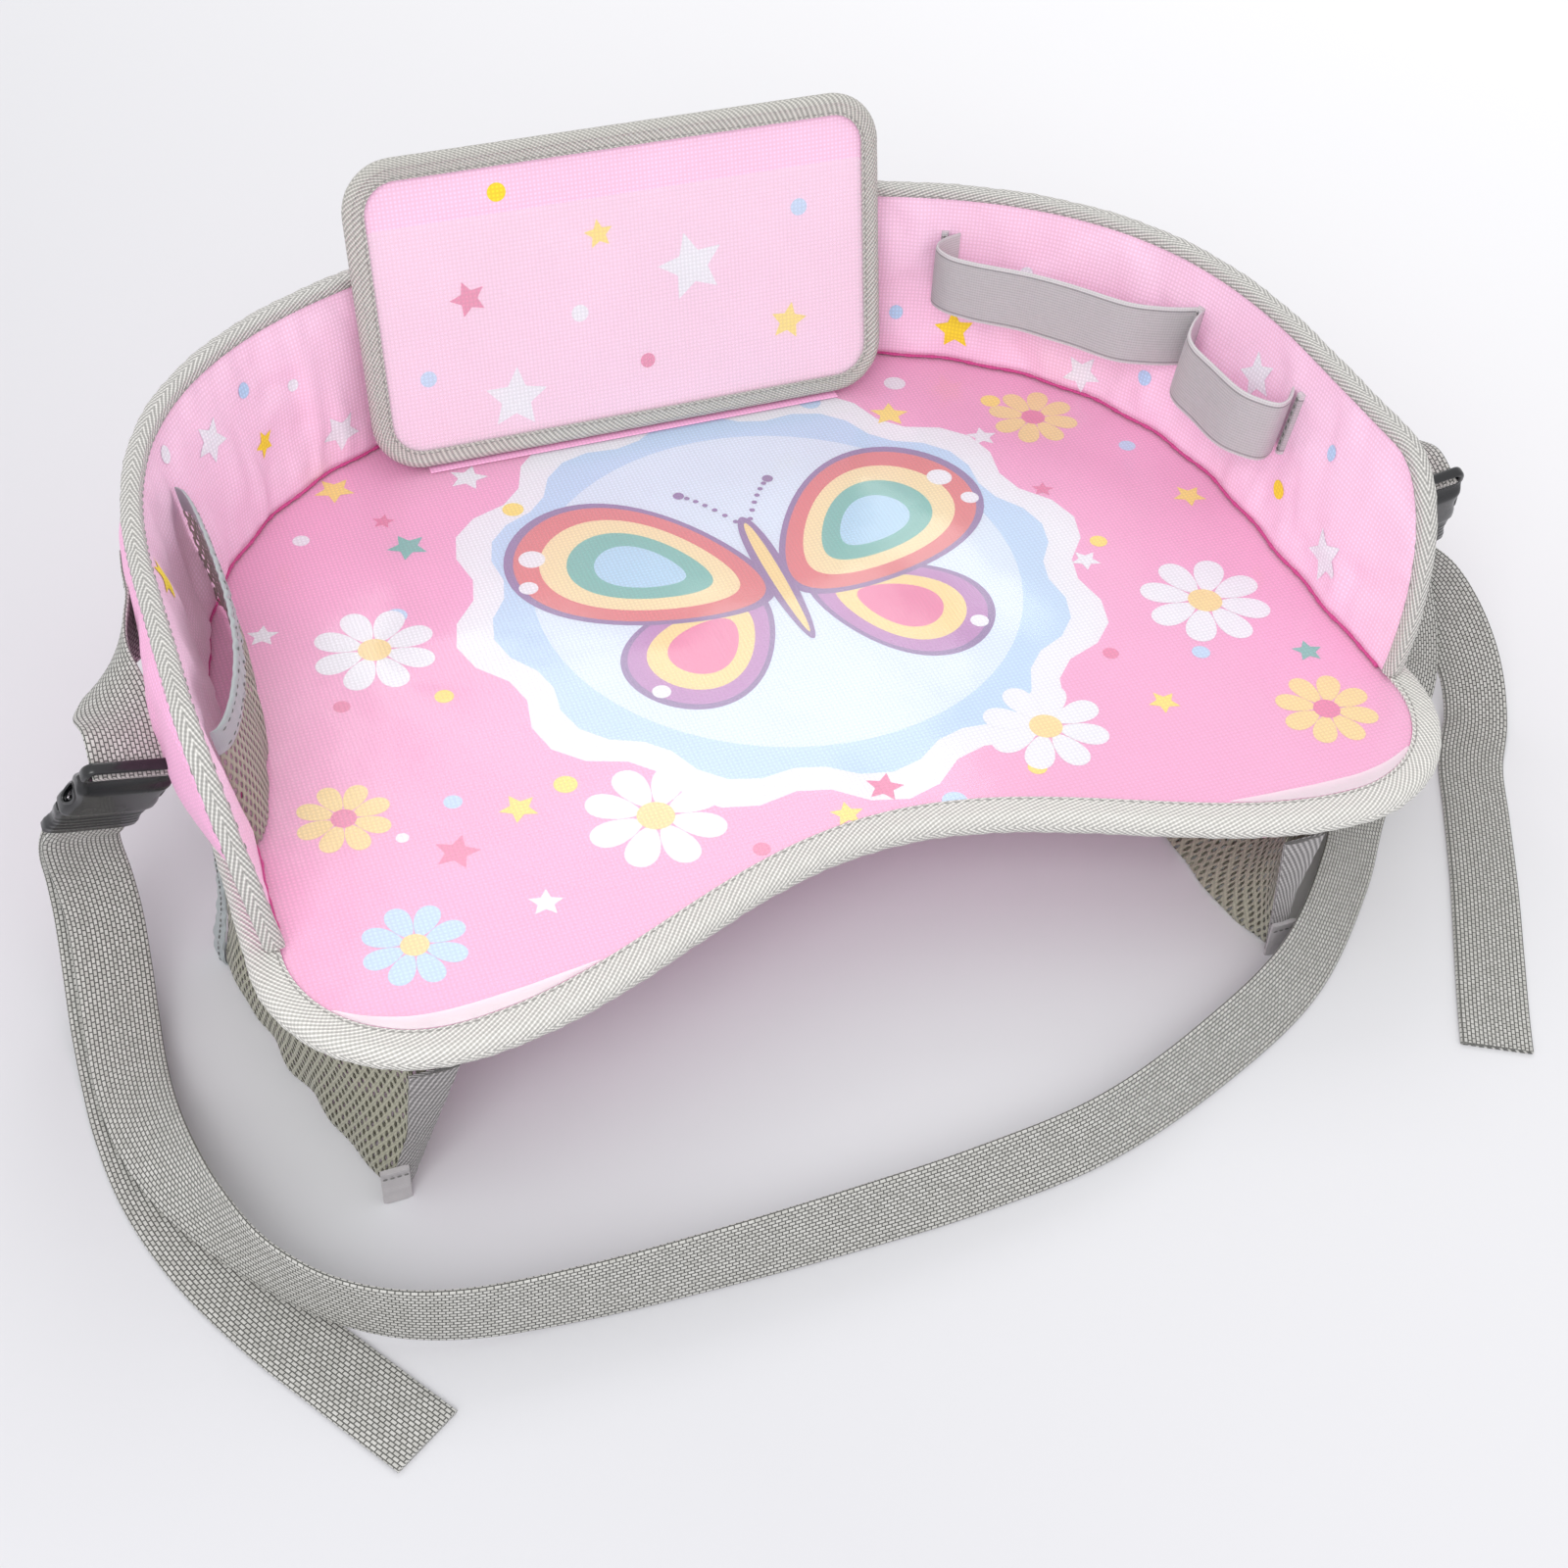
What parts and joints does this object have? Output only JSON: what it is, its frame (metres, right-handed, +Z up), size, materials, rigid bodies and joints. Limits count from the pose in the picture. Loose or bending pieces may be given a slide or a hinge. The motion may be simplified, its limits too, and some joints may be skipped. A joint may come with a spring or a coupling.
{
  "type": "kids travel tray",
  "caption": "Soft-sided lap tray with a padded wall, a fold-down tablet panel, pencil loops, mesh pockets and a waist strap with side-release buckles.",
  "frame": {"origin": "bottom centre of the tray, on the ground under its two side pockets, without the free webbing", "axes": "+Z up, +Y from the child to the back of the tray, +X to the right as the child sits"},
  "size_m": [0.5596, 0.4296, 0.1857],
  "materials": {
    "cover_fabric": "pink woven oxford fabric, matte",
    "lining_fabric": "pink woven lining, matte",
    "stiffener_board": "white plastic board, matte",
    "foam": "white foam padding",
    "clear_film": "clear vinyl film, glossy",
    "binding_webbing": "grey ribbed binding tape, matte",
    "elastic": "grey woven elastic, satin",
    "mesh_net": "grey knitted mesh, matte",
    "buckle_plastic": "black moulded plastic, semi-gloss",
    "strap_webbing": "grey woven webbing, matte"
  },
  "bodies": {
    "tray": {"base_under_cover": "cover_fabric", "base_top_cover": "cover_fabric", "wall_outer_cover": "cover_fabric", "wall_lining": "lining_fabric", "base_board": "stiffener_board", "base_foam_pad": "foam", "wall_foam_core": "foam", "clear_floor_film": "clear_film", "base_edge_binding": "binding_webbing", "wall_top_binding": "binding_webbing", "tablet_hinge_tape": "binding_webbing", "side_pocket_left_front_binding": "binding_webbing", "side_pocket_right_front_binding": "binding_webbing", "side_pocket_left_end_tab": "binding_webbing", "side_pocket_right_end_tab": "binding_webbing", "pencil_loop_long": "elastic", "pencil_loop_short": "elastic", "pencil_loop_tack_start": "elastic", "pencil_loop_tack_middle": "elastic", "pencil_loop_tack_end": "elastic", "inner_pocket_elastic_rim": "elastic", "side_pocket_left_mouth_elastic": "elastic", "side_pocket_right_mouth_elastic": "elastic", "inner_pocket_mesh": "mesh_net", "side_pocket_left_mesh": "mesh_net", "side_pocket_right_mesh": "mesh_net", "buckle_left_socket": "buckle_plastic", "buckle_right_socket": "buckle_plastic", "buckle_left_tab": "strap_webbing", "buckle_right_tab": "strap_webbing", "strap_loop": "strap_webbing", "strap_left_tail": "strap_webbing", "strap_right_tail": "strap_webbing"},
    "tablet_panel": {"tablet_window_film": "clear_film", "tablet_front_cover": "cover_fabric", "tablet_board": "stiffener_board", "tablet_back_cover": "cover_fabric", "tablet_panel_binding": "binding_webbing"},
    "left_plug": {"buckle_left_plug": "buckle_plastic"},
    "left_prong_inner": {"buckle_left_prong_inner": "buckle_plastic"},
    "left_prong_outer": {"buckle_left_prong_outer": "buckle_plastic"},
    "right_plug": {"buckle_right_plug": "buckle_plastic"},
    "right_prong_inner": {"buckle_right_prong_inner": "buckle_plastic"},
    "right_prong_outer": {"buckle_right_prong_outer": "buckle_plastic"}
  },
  "joints": [
    {"name": "tablet_panel_fold", "type": "hinge", "parent": "tray", "child": "tablet_panel", "pos_m": [-0.00539, 0.11496, 0.06687], "axis": [1, 0, 0], "range_deg": [0, 100]},
    {"name": "buckle_left_release", "type": "slide", "parent": "tray", "child": "left_plug", "axis": [-0.3766, 0.4237, -0.8238], "range_m": [0, 0.03], "deforming": ["strap_loop", "strap_left_tail"]},
    {"name": "buckle_left_prong_inner_squeeze", "type": "hinge", "parent": "left_plug", "child": "left_prong_inner", "pos_m": [-0.23017, -0.05365, 0.08692], "axis": [0, -0.8893, -0.4573], "range_deg": [0, 8], "stiffness_Nm_per_rad": 0.05},
    {"name": "buckle_left_prong_outer_squeeze", "type": "hinge", "parent": "left_plug", "child": "left_prong_outer", "pos_m": [-0.24943, -0.05724, 0.09389], "axis": [0, 0.8893, 0.4573], "range_deg": [0, 8], "stiffness_Nm_per_rad": 0.05},
    {"name": "buckle_right_release", "type": "slide", "parent": "tray", "child": "right_plug", "axis": [0.2353, 0.2918, -0.9271], "range_m": [0, 0.03], "deforming": ["strap_loop", "strap_right_tail"]},
    {"name": "buckle_right_prong_inner_squeeze", "type": "hinge", "parent": "right_plug", "child": "right_prong_inner", "pos_m": [0.23139, -0.05801, 0.08549], "axis": [0, 0.9539, 0.3002], "range_deg": [0, 8], "stiffness_Nm_per_rad": 0.05},
    {"name": "buckle_right_prong_outer_squeeze", "type": "hinge", "parent": "right_plug", "child": "right_prong_outer", "pos_m": [0.25161, -0.05948, 0.09016], "axis": [0, -0.9539, -0.3002], "range_deg": [0, 8], "stiffness_Nm_per_rad": 0.05}
  ],
  "couplings": [
    {"joint": "buckle_left_prong_outer_squeeze", "follows": "buckle_left_prong_inner_squeeze", "ratio": 1},
    {"joint": "buckle_right_prong_outer_squeeze", "follows": "buckle_right_prong_inner_squeeze", "ratio": 1}
  ]
}
